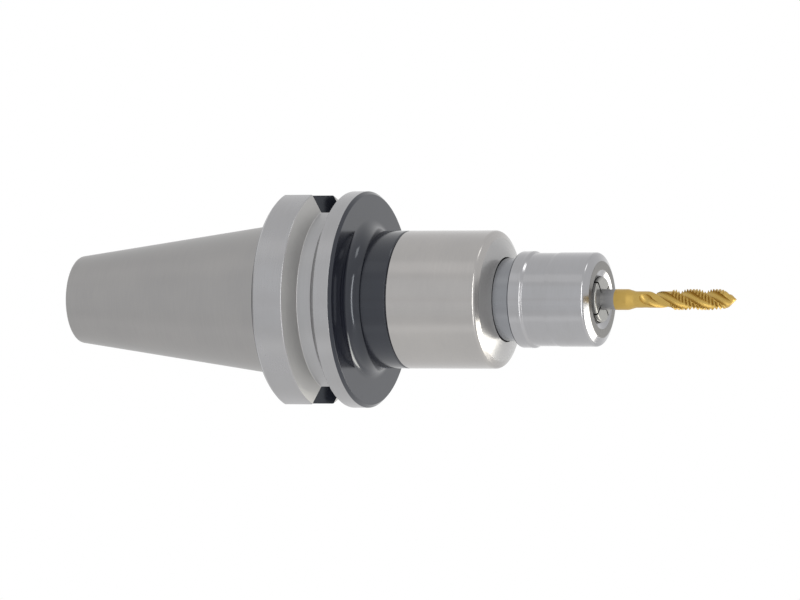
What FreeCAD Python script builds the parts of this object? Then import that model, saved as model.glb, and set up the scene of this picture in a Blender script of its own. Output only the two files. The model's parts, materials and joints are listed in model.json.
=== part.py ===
import FreeCAD, Part
import math
import os
from FreeCAD import Vector

# Synchronous tap holder with a steep-taper shank, a floating spindle, a clamping nut, a collet and a tap.
# Millimetres. The origin is the centre of the gauge plane of the taper. +X runs along the tool axis towards
# the tap's tip, and +Z points to one of the two drive slots.

os.makedirs("parts", exist_ok=True)

# Shank taper, flange and gripper groove
gauge_diameter = 44.45
taper_slope = 7 / 24
taper_length = 65.4
small_end_rounding = 1.2
undercut_depth = 1.0
undercut_ramp = 0.5
flange_gap = 2.0
flange_diameter = 63.0
flange_width = 25.0
flange_rear_chamfer = 1.0
flange_front_chamfer = 0.9
gripper_groove_centre = 16.6
gripper_groove_floor = 4.2265
gripper_groove_depth = 5.0
gripper_groove_half_angle = 30.0
drive_slot_width = 16.1
drive_slot_height = 22.6
drive_slot_count = 2

# Neck of the shank, and its spigot inside the sleeve
neck_fillet = 4.0
neck_land = 0.5
neck_undercut = 0.5
ring_width = 7.7
ring_chamfer = 0.4
spigot_wall = 1.97
spigot_length = 9.8

# Pull stud hole and coolant passage
pull_stud_pilot_diameter = 17.0
pull_stud_pilot_depth = 8.0
pull_stud_thread_diameter = 13.835
pull_stud_thread_length = 20.0
drill_point_half_angle = 59.0
coolant_passage_diameter = 5.0
coolant_tube_diameter = 6.0
coolant_tube_wall = 1.25
coolant_tube_seat = 12.0
coolant_tube_length = 26.0
tube_gap = 0.4
seal_groove_play = 1.2
static_ring_section = 1.5
static_ring_setback = 5.0
sliding_ring_section = 1.6
sliding_ring_setback = 4.0

# Float of the spindle each way, and the rubber dampers that bring it back
float_travel = 0.5
end_clearance = 0.5
damper_gap = 0.2
compression_damper_length = 5.8
tension_damper_length = 6.0
soft_clearance = 0.3
rear_washer_thickness = 1.5
front_washer_thickness = 1.8

# Bushes, wiper seal and sleeve seal
running_clearance = 0.03
rear_bush_length = 12.0
rear_bush_wall = 2.0
front_bush_length = 6.0
front_bush_wall = 1.97
wiper_thickness = 2.0
wiper_play = 0.2
sleeve_ring_section = 1.1
sleeve_ring_setback = 2.4

# Ball drive between shank and spindle
ball_diameter = 5.0
ball_rows = 4
ball_row_angle = 45.0
balls_per_row = 2
ball_spacing = 9.0
track_drop = 1.0
track_depth = 1.0
track_clearance = 0.03
track_run = 1.2
cage_end_land = 3.25
cage_gap = 1.0
cage_inner_clearance = 0.25
cage_outer_clearance = 0.3
cage_hole_clearance = 0.06

# Spindle
collar_width = 4.0
collar_clearance = 0.1
spindle_nose_wall = 1.5
spindle_tail_wall = 2.07
spindle_shown = 5.1
thread_relief_depth = 0.7
thread_relief_width = 1.6
thread_relief_setback = 1.4
spindle_face_chamfer = 0.5
spindle_face_setback = 7.4
seat_end_play = 0.5
seat_relief_length = 4.4
seat_relief_depth = 0.2

# Sleeve
sleeve_fit = 0.02
sleeve_wall = 2.98
sleeve_bore_gap = 0.25
sleeve_lip = 3.1
sleeve_nose_length = 2.8
sleeve_nose_drop = 2.1
sleeve_cone_length = 1.8
sleeve_nose_rounding = 1.0
sleeve_rear_chamfer = 0.4

# Clamping nut and its extraction ring
nut_length = 24.25
nut_thread_clearance = 0.03
nut_body_wall = 1.42
nut_lip_rise = 0.48
nut_bead_rise = 0.07
nut_lip_width = 3.8
nut_bead_width = 0.9
nut_lip_slope = 0.7
nut_grip_length = 12.6
nut_grip_rise = 0.13
nut_chamfer_length = 1.2
nut_chamfer_drop = 2.6
nut_edge_rounding = 0.4
nut_dish_width = 1.4
nut_dish_depth = 0.6
nut_opening_clearance = 0.15
extraction_ring_thickness = 1.6
extraction_ring_inset = 0.53
extraction_ring_slack = 0.15
extraction_ring_offset = 0.9
extraction_ring_gap = 0.3
ring_seat_clearance = 0.05
ring_seat_lip = 1.0

# Collet
collet_length = 31.5
collet_largest_diameter = 21.0
collet_half_angle = 8.0
collet_land = 0.6
collet_groove_width = 2.2
collet_groove_depth = 1.8
collet_head_drop = 0.7
collet_head_half_angle = 30.0
collet_head_length = 2.2
collet_nose_diameter = 13.1
collet_nose_length = 2.0
collet_protrusion = 0.35
collet_edge_rounding = 0.5
collet_slit_width = 0.6
collet_slit_count = 4
collet_slit_angle = 41.0
collet_slit_land = 5.5
collet_rear_slit_land = 1.0
taper_fit = 0.02
cone_fit = 0.03

# Length stop screw
stop_screw_diameter = 10.0
stop_screw_length = 10.0
stop_screw_play = 2.0
stop_stem_drop = 0.3
stop_stem_clearance = 0.8
stop_tap_gap = 0.1
stop_screw_hole = 2.5
stop_hex_width = 4.0
stop_hex_depth = 5.0

# Tap
tap_grip = 21.6
tap_shank_diameter = 6.0
tap_square = 4.5
tap_square_length = 7.0
tap_fit = 0.02
square_gap = 0.1
tap_end_chamfer = 0.3
tap_shank_length = 29.4
tap_shoulder_length = 2.2
tap_neck_diameter = 4.75
tap_neck_length = 11.1
tap_thread_ramp = 0.5
tap_thread_diameter = 6.0
tap_thread_length = 14.3
tap_lead_length = 2.2
tap_lead_drop = 0.75
tap_point_length = 2.5
flute_count = 3
flute_lead = 23.0
flute_radius = 1.65
flute_core_radius = 1.2
flute_setback = 2.0
flute_phase = 60.0

# Room that a cutter takes beyond the face it opens
overcut = 1.0

# Radii, from the collet outwards
spindle_radius = collet_largest_diameter / 2 + spindle_nose_wall
track_radius = spindle_radius - track_drop
ball_radius = ball_diameter / 2
ball_centre_radius = track_radius + ball_radius - track_depth
cavity_radius = ball_centre_radius + ball_radius - track_depth
spigot_radius = ball_centre_radius + ball_radius + track_clearance + spigot_wall
sleeve_inner = spigot_radius + sleeve_fit
ring_radius = sleeve_inner + sleeve_wall
tube_radius = coolant_tube_diameter / 2
static_ring_outer = tube_radius + static_ring_section
sliding_ring_inner = tube_radius + soft_clearance
sliding_ring_outer = sliding_ring_inner + sliding_ring_section
sleeve_ring_outer = sleeve_inner + sleeve_ring_section
tail_radius = sliding_ring_outer + spindle_tail_wall
front_bush_inner = spindle_radius + running_clearance
front_bush_outer = front_bush_inner + front_bush_wall
rear_bush_inner = tail_radius + running_clearance
rear_bush_outer = rear_bush_inner + rear_bush_wall
nut_thread_radius = spindle_radius + nut_thread_clearance
nut_body_radius = nut_thread_radius + nut_body_wall
extraction_ring_outer = nut_thread_radius - extraction_ring_inset
collet_head_radius = collet_largest_diameter / 2 - collet_head_drop
extraction_ring_inner = collet_head_radius + extraction_ring_slack
tap_shank_radius = tap_shank_diameter / 2
stop_stem_radius = tap_shank_radius - stop_stem_drop
collet_rear_bore = stop_stem_radius + stop_stem_clearance
gripper_groove_radius = flange_diameter / 2 - gripper_groove_depth
groove_floor_half = gripper_groove_floor / 2

# Stations along the axis, from the gauge plane
small_end = -taper_length
flange_rear = flange_gap
flange_front = flange_rear + flange_width
ring_rear = flange_front + neck_fillet + neck_land
sleeve_rear = ring_rear + ring_width
spigot_front = sleeve_rear + spigot_length
collar_front = spigot_front + float_travel + end_clearance
collar_rear = collar_front - collar_width
cage_front = collar_rear - cage_gap
last_ball = cage_front - cage_end_land - ball_radius
first_ball = last_ball - ball_spacing * (balls_per_row - 1)
cage_rear = first_ball - ball_radius - cage_end_land
spindle_shoulder = cage_rear - cage_gap
rear_washer_rear = spindle_shoulder - rear_washer_thickness
cavity_floor = rear_washer_rear - damper_gap - compression_damper_length
bush_seat_floor = cavity_floor - rear_bush_length
tail_rear = bush_seat_floor + float_travel + end_clearance
tube_rear = bush_seat_floor - coolant_tube_seat
static_ring_station = bush_seat_floor - static_ring_setback
sliding_ring_station = tail_rear + sliding_ring_setback
sleeve_ring_station = spigot_front - sleeve_ring_setback
front_washer_front = collar_front + front_washer_thickness
sleeve_step = front_washer_front + damper_gap + tension_damper_length
wiper_seat = sleeve_step + front_bush_length
lip_rear = wiper_seat + wiper_thickness + wiper_play
sleeve_front = lip_rear + sleeve_lip
nut_rear = sleeve_front + spindle_shown
nut_front = nut_rear + nut_length
collet_front = nut_front + collet_protrusion
collet_rear = collet_front - collet_length
collet_shoulder = collet_front - collet_nose_length
collet_groove_front = collet_shoulder - collet_head_length
collet_groove_rear = collet_groove_front - collet_groove_width
collet_land_rear = collet_groove_rear - collet_land
spindle_face = collet_front - spindle_face_setback
seat_rear = collet_rear - seat_end_play
seat_floor = seat_rear - seat_relief_length
extraction_ring_rear = collet_groove_rear + extraction_ring_gap
tap_rear = collet_front - tap_grip
square_front = tap_rear + tap_square_length - square_gap
tap_shank_front = tap_rear + tap_shank_length
tap_neck_rear = tap_shank_front + tap_shoulder_length
tap_neck_front = tap_neck_rear + tap_neck_length
tap_thread_rear = tap_neck_front + tap_thread_ramp
tap_lead_rear = tap_thread_rear + tap_thread_length
tap_lead_front = tap_lead_rear + tap_lead_length
tap_tip = tap_lead_front + tap_point_length


def tan(degrees):
    return math.tan(math.radians(degrees))


def corner_points(corners, index):
    """Start, middle and end of the round at one corner, or the corner itself three times."""
    corner = corners[index]
    here = Vector(corner[0], 0, corner[1])
    if len(corner) < 3:
        return here, None, here
    before = corners[index - 1]
    after = corners[(index + 1) % len(corners)]
    back = (Vector(before[0], 0, before[1]) - here).normalize()
    on = (Vector(after[0], 0, after[1]) - here).normalize()
    half = back.getAngle(on) / 2
    rounding = corner[2]
    start = here + back * (rounding / math.tan(half))
    end = here + on * (rounding / math.tan(half))
    middle = here + (back + on).normalize() * (rounding / math.sin(half) - rounding)
    return start, middle, end


def turned(corners):
    """Solid of revolution about X from (x, radius) corners; a third value rounds that corner."""
    rounds = [corner_points(corners, index) for index in range(len(corners))]
    edges = []
    for index, (start, middle, end) in enumerate(rounds):
        if middle is not None:
            edges.append(Part.Arc(start, middle, end).toShape())
        next_start = rounds[(index + 1) % len(rounds)][0]
        if end.distanceToPoint(next_start) > 1e-6:
            edges.append(Part.makeLine(end, next_start))
    face = Part.Face(Part.Wire(edges))
    return face.revolve(Vector(0, 0, 0), Vector(1, 0, 0), 360)


def tube(rear, front, inner, outer):
    """Plain ring or sleeve between two stations."""
    return turned([(rear, inner), (rear, outer), (front, outer), (front, inner)])


def rod(rear, front, radius, y=0.0, z=0.0):
    """Cylinder along X."""
    return Part.makeCylinder(radius, front - rear, Vector(rear, y, z), Vector(1, 0, 0))


def seal_ring(station, inner, outer):
    """Rubber ring of round section about X."""
    return Part.makeTorus((inner + outer) / 2, (outer - inner) / 2, Vector(station, 0, 0), Vector(1, 0, 0))


def block(low, high):
    """Box between two corners."""
    return Part.makeBox(high[0] - low[0], high[1] - low[1], high[2] - low[2], Vector(*low))


def around(shape, count, first=0.0):
    """Copies of a shape turned evenly about the tool axis."""
    copies = []
    for index in range(count):
        copy = shape.copy()
        copy.rotate(Vector(0, 0, 0), Vector(1, 0, 0), first + index * 360 / count)
        copies.append(copy)
    return copies


def cut(shape, tools):
    """Shape less all the tools, as one clean solid."""
    return shape.cut(tools).removeSplitter().Solids[0]


def hexagon(rear, front, width):
    """Six-sided bar along X, with its width across flats."""
    corner_radius = width / 2 / math.cos(math.pi / 6)
    corners = []
    for index in range(7):
        angle = index * math.pi / 3
        corners.append(Vector(rear, corner_radius * math.cos(angle), corner_radius * math.sin(angle)))
    return Part.Face(Part.makePolygon(corners)).extrude(Vector(front - rear, 0, 0))


def ball_stations():
    """Where the balls of one row stand at rest."""
    return [first_ball + index * ball_spacing for index in range(balls_per_row)]


def ball_track(rear, front):
    """Round-ended channel that a row of balls rolls in."""
    radius = ball_radius + track_clearance
    channel = rod(rear, front, radius, z=ball_centre_radius)
    for station in (rear, front):
        channel = channel.fuse(Part.makeSphere(radius, Vector(station, 0, ball_centre_radius)))
    return channel


def drive_slot():
    """Slot for a drive key of the machine spindle, cut down from the top of the flange."""
    end = gripper_groove_centre + groove_floor_half
    return block(
        (flange_rear - overcut, -drive_slot_width / 2, drive_slot_height),
        (end, drive_slot_width / 2, flange_diameter / 2 + overcut),
    )


def seal_groove(station, section, inner, outer):
    """Room for a seal ring, a little wider than the ring."""
    half = section * seal_groove_play / 2
    return tube(station - half, station + half, inner, outer)


def make_shank_body():
    gauge_radius = gauge_diameter / 2
    flange_radius = flange_diameter / 2
    small_radius = gauge_radius - taper_length * taper_slope / 2
    neck_radius = ring_radius - neck_undercut
    undercut_radius = gauge_radius - undercut_depth
    groove_mouth_half = groove_floor_half + gripper_groove_depth * tan(gripper_groove_half_angle)
    pilot_radius = pull_stud_pilot_diameter / 2
    thread_radius = pull_stud_thread_diameter / 2
    passage_radius = coolant_passage_diameter / 2
    pilot_floor = small_end + pull_stud_pilot_depth
    thread_end = pilot_floor + pull_stud_thread_length
    drill_point = thread_end + (thread_radius - passage_radius) / tan(drill_point_half_angle)
    outside = [
        (small_end, small_radius, small_end_rounding),
        (0, gauge_radius),
        (undercut_ramp, undercut_radius),
        (flange_rear, undercut_radius),
        (flange_rear, flange_radius - flange_rear_chamfer),
        (flange_rear + flange_rear_chamfer, flange_radius),
        (gripper_groove_centre - groove_mouth_half, flange_radius),
        (gripper_groove_centre - groove_floor_half, gripper_groove_radius),
        (gripper_groove_centre + groove_floor_half, gripper_groove_radius),
        (gripper_groove_centre + groove_mouth_half, flange_radius),
        (flange_front - flange_front_chamfer, flange_radius),
        (flange_front, flange_radius - flange_front_chamfer),
        (flange_front, neck_radius, neck_fillet),
        (ring_rear, neck_radius),
        (ring_rear, ring_radius),
        (sleeve_rear - ring_chamfer, ring_radius),
        (sleeve_rear, ring_radius - ring_chamfer),
        (sleeve_rear, spigot_radius),
        (spigot_front, spigot_radius),
    ]
    inside = [
        (spigot_front, cavity_radius),
        (cavity_floor, cavity_radius),
        (cavity_floor, rear_bush_outer),
        (bush_seat_floor, rear_bush_outer),
        (bush_seat_floor, tube_radius),
        (tube_rear, tube_radius),
        (tube_rear, passage_radius),
        (drill_point, passage_radius),
        (thread_end, thread_radius),
        (pilot_floor, thread_radius),
        (pilot_floor, pilot_radius),
        (small_end, pilot_radius),
    ]
    body = turned(outside + inside)
    track = ball_track(first_ball - track_run, spigot_front + ball_diameter)
    cutters = around(drive_slot(), drive_slot_count)
    cutters += around(track, ball_rows, ball_row_angle)
    cutters.append(seal_groove(static_ring_station, static_ring_section, tube_radius, static_ring_outer))
    return cut(body, cutters)


def make_housing_sleeve():
    body = turned([
        (sleeve_rear, sleeve_inner),
        (sleeve_rear, ring_radius - sleeve_rear_chamfer),
        (sleeve_rear + sleeve_rear_chamfer, ring_radius),
        (sleeve_front - sleeve_nose_length, ring_radius, sleeve_nose_rounding),
        (sleeve_front - sleeve_cone_length, ring_radius - sleeve_nose_drop, sleeve_nose_rounding / 2),
        (sleeve_front, spindle_radius + sleeve_bore_gap),
        (lip_rear, spindle_radius + sleeve_bore_gap),
        (lip_rear, front_bush_outer),
        (sleeve_step, front_bush_outer),
        (sleeve_step, sleeve_inner),
    ])
    groove = seal_groove(sleeve_ring_station, sleeve_ring_section, spigot_radius, sleeve_ring_outer)
    return cut(body, [groove])


def collet_radius_at(station):
    """Radius of the collet's long taper at a station."""
    return collet_largest_diameter / 2 - (collet_land_rear - station) * tan(collet_half_angle)


def make_spindle():
    bore_radius = tube_radius + tube_gap
    relief_rear = nut_rear + thread_relief_setback
    relief_front = relief_rear + thread_relief_width
    relief_radius = spindle_radius - thread_relief_depth
    collar_radius = cavity_radius - collar_clearance
    seat_rear_radius = collet_radius_at(seat_rear) + taper_fit
    seat_relief_radius = seat_rear_radius + seat_relief_depth
    stop_bore_rear = seat_floor - stop_screw_length - stop_screw_play
    outside = [
        (tail_rear, tail_radius),
        (spindle_shoulder, tail_radius),
        (spindle_shoulder, track_radius),
        (collar_rear, track_radius),
        (collar_rear, collar_radius),
        (collar_front, collar_radius),
        (collar_front, spindle_radius),
        (relief_rear, spindle_radius),
        (relief_rear, relief_radius),
        (relief_front, relief_radius),
        (relief_front, spindle_radius),
        (spindle_face - spindle_face_chamfer, spindle_radius),
        (spindle_face, spindle_radius - spindle_face_chamfer),
    ]
    inside = [
        (spindle_face, collet_radius_at(spindle_face) + taper_fit),
        (seat_rear, seat_rear_radius),
        (seat_rear, seat_relief_radius),
        (seat_floor, seat_relief_radius),
        (seat_floor, stop_screw_diameter / 2),
        (stop_bore_rear, stop_screw_diameter / 2),
        (stop_bore_rear, bore_radius),
        (tail_rear, bore_radius),
    ]
    body = turned(outside + inside)
    track = ball_track(first_ball - track_run, last_ball + track_run)
    cutters = around(track, ball_rows, ball_row_angle)
    cutters.append(seal_groove(sliding_ring_station, sliding_ring_section, bore_radius, sliding_ring_outer))
    return cut(body, cutters)


def make_ball_cage():
    body = tube(
        cage_rear, cage_front,
        track_radius + cage_inner_clearance, cavity_radius - cage_outer_clearance,
    )
    holes = []
    for station in ball_stations():
        hole = Part.makeCylinder(
            ball_radius + cage_hole_clearance, cavity_radius + overcut, Vector(station, 0, 0), Vector(0, 0, 1)
        )
        holes += around(hole, ball_rows, ball_row_angle)
    return cut(body, holes)


def make_drive_balls():
    balls = []
    for station in ball_stations():
        ball = Part.makeSphere(ball_radius, Vector(station, 0, ball_centre_radius))
        balls += around(ball, ball_rows, ball_row_angle)
    return Part.makeCompound(balls)


def make_tap_collet():
    largest_radius = collet_largest_diameter / 2
    groove_radius = largest_radius - collet_groove_depth
    nose_radius = collet_nose_diameter / 2
    head_front_radius = collet_head_radius - collet_head_length * tan(collet_head_half_angle)
    bore = tap_shank_radius + tap_fit
    half_square = tap_square / 2 + tap_fit
    square_rear = tap_rear - square_gap
    body = turned([
        (collet_rear, collet_rear_bore),
        (collet_rear, collet_radius_at(collet_rear), collet_edge_rounding),
        (collet_land_rear, largest_radius),
        (collet_groove_rear, largest_radius),
        (collet_groove_rear, groove_radius),
        (collet_groove_front, groove_radius),
        (collet_groove_front, collet_head_radius),
        (collet_shoulder, head_front_radius),
        (collet_shoulder, nose_radius),
        (collet_front, nose_radius, collet_edge_rounding),
        (collet_front, bore),
        (square_front, bore),
        (square_front, tap_square / 2),
        (square_rear, tap_square / 2),
        (square_rear, collet_rear_bore),
    ])
    square_hole = block((square_rear, -half_square, -half_square), (square_front, half_square, half_square))
    half_slit = collet_slit_width / 2
    reach = collet_largest_diameter
    front_slit = block(
        (collet_rear + collet_slit_land, -half_slit, 0), (collet_front + overcut, half_slit, reach)
    )
    rear_slit = block(
        (collet_rear - overcut, -half_slit, 0), (collet_land_rear - collet_rear_slit_land, half_slit, reach)
    )
    slits = around(front_slit, collet_slit_count, collet_slit_angle)
    slits += around(rear_slit, collet_slit_count, collet_slit_angle + 180 / collet_slit_count)
    return cut(body, [square_hole] + slits)


def make_collet_nut():
    bead_front = nut_rear + nut_lip_width
    bead_rear = bead_front - nut_bead_width
    lip_radius = nut_body_radius + nut_lip_rise
    bead_radius = lip_radius + nut_bead_rise
    grip_radius = nut_body_radius + nut_grip_rise
    grip_rear = nut_front - nut_grip_length
    face_radius = grip_radius - nut_chamfer_drop
    opening = collet_nose_diameter / 2 + nut_opening_clearance
    seat_rear = extraction_ring_rear - ring_seat_clearance
    seat_front = extraction_ring_rear + extraction_ring_thickness + ring_seat_clearance
    seat_radius = extraction_ring_outer + ring_seat_clearance
    cone_slope = tan(collet_head_half_angle)
    cone_rear_radius = collet_head_radius + cone_fit / math.cos(math.radians(collet_head_half_angle))
    cone_front = collet_shoulder + cone_fit
    cone_front_radius = cone_rear_radius - (cone_front - collet_groove_front) * cone_slope
    return turned([
        (nut_rear, nut_thread_radius),
        (nut_rear, lip_radius, nut_edge_rounding),
        (bead_rear, lip_radius),
        (bead_rear, bead_radius),
        (bead_front, bead_radius),
        (bead_front + nut_lip_slope, nut_body_radius),
        (grip_rear - nut_grip_rise, nut_body_radius),
        (grip_rear, grip_radius),
        (nut_front - nut_chamfer_length, grip_radius, nut_edge_rounding),
        (nut_front, face_radius, nut_edge_rounding),
        (nut_front, opening + nut_dish_width),
        (nut_front - nut_dish_depth, opening),
        (cone_front, opening),
        (cone_front, cone_front_radius),
        (collet_groove_front, cone_rear_radius),
        (collet_groove_front, seat_radius - ring_seat_lip),
        (seat_front, seat_radius - ring_seat_lip),
        (seat_front, seat_radius),
        (seat_rear, seat_radius),
        (seat_rear, nut_thread_radius),
    ])


def make_extraction_ring():
    """Ring with its eye off centre, so that one side of it reaches into the collet's groove."""
    front = extraction_ring_rear + extraction_ring_thickness
    disc = rod(extraction_ring_rear, front, extraction_ring_outer)
    eye = rod(extraction_ring_rear - overcut, front + overcut, extraction_ring_inner, z=extraction_ring_offset)
    return cut(disc, [eye])


def make_length_stop_screw():
    thread_rear = seat_floor - stop_screw_length
    stem_front = tap_rear - stop_tap_gap
    body = turned([
        (thread_rear, stop_screw_hole / 2),
        (thread_rear, stop_screw_diameter / 2),
        (seat_floor, stop_screw_diameter / 2),
        (seat_floor, stop_stem_radius),
        (stem_front, stop_stem_radius),
        (stem_front, stop_screw_hole / 2),
    ])
    socket = hexagon(thread_rear - overcut, thread_rear + stop_hex_depth, stop_hex_width)
    return cut(body, [socket])


def flute_cutter():
    """Round channel that winds round the tap, with a round run-out at its rear end."""
    start = tap_neck_rear + flute_setback
    length = tap_tip + overcut - start
    centre = flute_core_radius + flute_radius
    path = Part.makeHelix(flute_lead, length, centre)
    along = Vector(0, 2 * math.pi * centre, flute_lead).normalize()
    section = Part.makeCircle(flute_radius, Vector(centre, 0, 0), along)
    channel = Part.Wire(path.Edges).makePipeShell([Part.Wire(section)], True, True)
    channel = channel.fuse(Part.makeSphere(flute_radius, Vector(centre, 0, 0)))
    channel.rotate(Vector(0, 0, 0), Vector(0, 1, 0), 90)
    channel.translate(Vector(start, 0, 0))
    return channel


def make_tap():
    neck = tap_neck_diameter / 2
    crest = tap_thread_diameter / 2
    blank = turned([
        (tap_rear, 0),
        (tap_rear, tap_shank_radius - tap_end_chamfer),
        (tap_rear + tap_end_chamfer, tap_shank_radius),
        (tap_shank_front, tap_shank_radius, tap_shank_radius),
        (tap_neck_rear, neck, tap_shank_radius),
        (tap_neck_front, neck),
        (tap_thread_rear, crest),
        (tap_lead_rear, crest),
        (tap_lead_front, crest - tap_lead_drop),
        (tap_tip, 0),
    ])
    half = tap_square / 2
    far = tap_shank_diameter
    flat = block((tap_rear - overcut, -far, half), (tap_rear + tap_square_length, far, far))
    fluted = cut(blank, around(flute_cutter(), flute_count))
    fluted.rotate(Vector(0, 0, 0), Vector(1, 0, 0), flute_phase)
    return cut(fluted, around(flat, 4))


pieces = {
    "shank_body": make_shank_body(),
    "housing_sleeve": make_housing_sleeve(),
    "rear_guide_bush": tube(bush_seat_floor, cavity_floor, rear_bush_inner, rear_bush_outer),
    "front_guide_bush": tube(sleeve_step, wiper_seat, front_bush_inner, front_bush_outer),
    "front_wiper_seal": tube(
        wiper_seat, wiper_seat + wiper_thickness, spindle_radius + soft_clearance, front_bush_outer
    ),
    "sleeve_o_ring": seal_ring(sleeve_ring_station, sleeve_inner, sleeve_ring_outer),
    "coolant_tube": tube(
        tube_rear, tube_rear + coolant_tube_length, tube_radius - coolant_tube_wall, tube_radius
    ),
    "tube_static_o_ring": seal_ring(static_ring_station, tube_radius, static_ring_outer),
    "tube_sliding_o_ring": seal_ring(sliding_ring_station, sliding_ring_inner, sliding_ring_outer),
    "compression_damper": tube(
        cavity_floor, cavity_floor + compression_damper_length,
        tail_radius + soft_clearance, cavity_radius - soft_clearance,
    ),
    "rear_thrust_washer": tube(
        rear_washer_rear, spindle_shoulder, tail_radius + running_clearance, cavity_radius - soft_clearance
    ),
    "front_thrust_washer": tube(
        collar_front, front_washer_front, spindle_radius + running_clearance, sleeve_inner - soft_clearance
    ),
    "tension_damper": tube(
        sleeve_step - tension_damper_length, sleeve_step,
        spindle_radius + soft_clearance, sleeve_inner - soft_clearance,
    ),
    "ball_cage": make_ball_cage(),
    "drive_balls": make_drive_balls(),
    "spindle": make_spindle(),
    "length_stop_screw": make_length_stop_screw(),
    "tap_collet": make_tap_collet(),
    "collet_nut": make_collet_nut(),
    "extraction_ring": make_extraction_ring(),
    "tap": make_tap(),
}

for name, shape in pieces.items():
    box = shape.optimalBoundingBox(True, False)
    print(name, "solids", len(shape.Solids), "valid", shape.isValid(), "volume", round(shape.Volume, 1),
          "x", round(box.XMin, 2), round(box.XMax, 2), "width", round(box.YLength, 2))
    shape.exportStep(f"parts/{name}.step")
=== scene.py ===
# %% [markdown]
# A synchronous tap holder for a milling machine. Its steep taper sits in the machine spindle, the black
# neck carries a ground sleeve, and inside the sleeve a short spindle floats a little along its axis. The
# round nut on the spindle closes a slit collet on a small gold-coated tap.
#
# The model that is loaded first holds every part at its real size. This lesson dresses it: parts whose
# edges catch the light are turned again with fine edge breaks, and each gets the finish of its own steel.

# %% Load the frame
import json
import math
import bmesh
import bpy
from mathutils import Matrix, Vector

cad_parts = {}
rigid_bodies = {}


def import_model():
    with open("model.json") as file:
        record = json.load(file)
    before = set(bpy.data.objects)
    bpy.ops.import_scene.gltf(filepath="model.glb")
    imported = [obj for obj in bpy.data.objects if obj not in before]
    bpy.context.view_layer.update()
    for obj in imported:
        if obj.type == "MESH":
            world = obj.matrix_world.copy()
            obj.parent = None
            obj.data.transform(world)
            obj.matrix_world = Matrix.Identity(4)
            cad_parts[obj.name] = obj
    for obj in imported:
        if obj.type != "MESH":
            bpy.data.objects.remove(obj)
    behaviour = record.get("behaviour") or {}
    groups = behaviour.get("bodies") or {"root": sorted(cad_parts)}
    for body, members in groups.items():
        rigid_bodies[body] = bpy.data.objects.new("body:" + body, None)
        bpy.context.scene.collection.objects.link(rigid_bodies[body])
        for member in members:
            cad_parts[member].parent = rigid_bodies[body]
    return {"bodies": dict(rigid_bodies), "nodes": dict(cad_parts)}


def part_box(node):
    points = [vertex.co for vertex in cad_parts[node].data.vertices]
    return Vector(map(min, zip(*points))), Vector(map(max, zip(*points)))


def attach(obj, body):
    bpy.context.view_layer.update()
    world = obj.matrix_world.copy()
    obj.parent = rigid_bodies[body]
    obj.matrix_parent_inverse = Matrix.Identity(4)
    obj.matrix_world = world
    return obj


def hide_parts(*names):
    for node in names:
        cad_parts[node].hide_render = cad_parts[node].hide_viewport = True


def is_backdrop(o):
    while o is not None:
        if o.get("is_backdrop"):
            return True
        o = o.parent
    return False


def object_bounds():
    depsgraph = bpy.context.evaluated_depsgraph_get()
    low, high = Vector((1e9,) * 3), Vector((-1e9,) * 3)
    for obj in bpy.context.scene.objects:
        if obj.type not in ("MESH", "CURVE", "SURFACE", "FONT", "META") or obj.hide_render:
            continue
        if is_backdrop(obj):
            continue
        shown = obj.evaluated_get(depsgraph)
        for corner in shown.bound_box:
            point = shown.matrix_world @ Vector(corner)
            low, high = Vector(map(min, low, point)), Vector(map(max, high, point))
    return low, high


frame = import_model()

mm = 0.001
micron = 1e-6

# %% [markdown]
# A new Blender file may hold a cube, a lamp and a camera of its own. They don't belong to the holder, so
# everything that isn't part of the frame goes before the first piece is made.

# %% Clear the table
for leftover in list(bpy.context.scene.objects):
    in_frame = leftover in frame["nodes"].values() or leftover in frame["bodies"].values()
    if not in_frame:
        bpy.data.objects.remove(leftover)
cad_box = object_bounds()
print("box", [round(side / mm, 1) for side in cad_box[1] - cad_box[0]])

# %% [markdown]
# The holder lies level and is seen from its tap's side, from far away through a long lens, which keeps
# both of its ends at nearly one scale. The camera could be turned by hand until the picture looks right.
# Here it is placed by its bearing, the angle from straight in front towards the tap, and it aims at one
# point close to the tool axis. The lens follows from how many pixels a millimetre takes in a picture 800
# pixels wide.

# %% Camera
view_bearing = 22.2
view_distance = 2.2
aim_station = 35.88
aim_height = -0.13
pixels_per_mm = 3.4442
picture_width = 800
sensor_width = 36.0


def outward(bearing, elevation):
    """Direction from the holder, by bearing from the front towards the tap and by height, in degrees."""
    side = math.radians(bearing)
    up = math.radians(elevation)
    return Vector((math.sin(side) * math.cos(up), -math.cos(side) * math.cos(up), math.sin(up)))


aim = Vector((aim_station, 0, aim_height)) * mm
bpy.ops.object.camera_add(location=aim + outward(view_bearing, 0) * view_distance)
camera = bpy.context.active_object
camera.rotation_euler = outward(view_bearing, 0).to_track_quat("Z", "Y").to_euler()
camera.data.sensor_width = sensor_width
camera.data.lens = pixels_per_mm / mm * view_distance / picture_width * sensor_width
camera.data.clip_end = 100
bpy.context.scene.camera = camera
print("lens", round(camera.data.lens, 1), "mm")

# %% [markdown]
# Shader nodes are easier to read as sums. Level wraps the output of a node, and the usual signs then add
# a Math node each. Finish holds one material while it is made, and node() adds any other node: its kind,
# its settings, which are set first, and the values or links of its sockets.

# %% Sums for shaders
class Level:
    """A number that changes over a surface."""

    def __init__(self, finish, socket):
        self.finish = finish
        self.socket = socket

    def __add__(self, other):
        return self.finish.sum("ADD", self, other)

    def __sub__(self, other):
        return self.finish.sum("SUBTRACT", self, other)

    def __rsub__(self, other):
        return self.finish.sum("SUBTRACT", other, self)

    def __mul__(self, other):
        return self.finish.sum("MULTIPLY", self, other)

    def __truediv__(self, other):
        return self.finish.sum("DIVIDE", self, other)

    def __pow__(self, other):
        return self.finish.sum("POWER", self, other)

    __radd__ = __add__
    __rmul__ = __mul__


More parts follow.
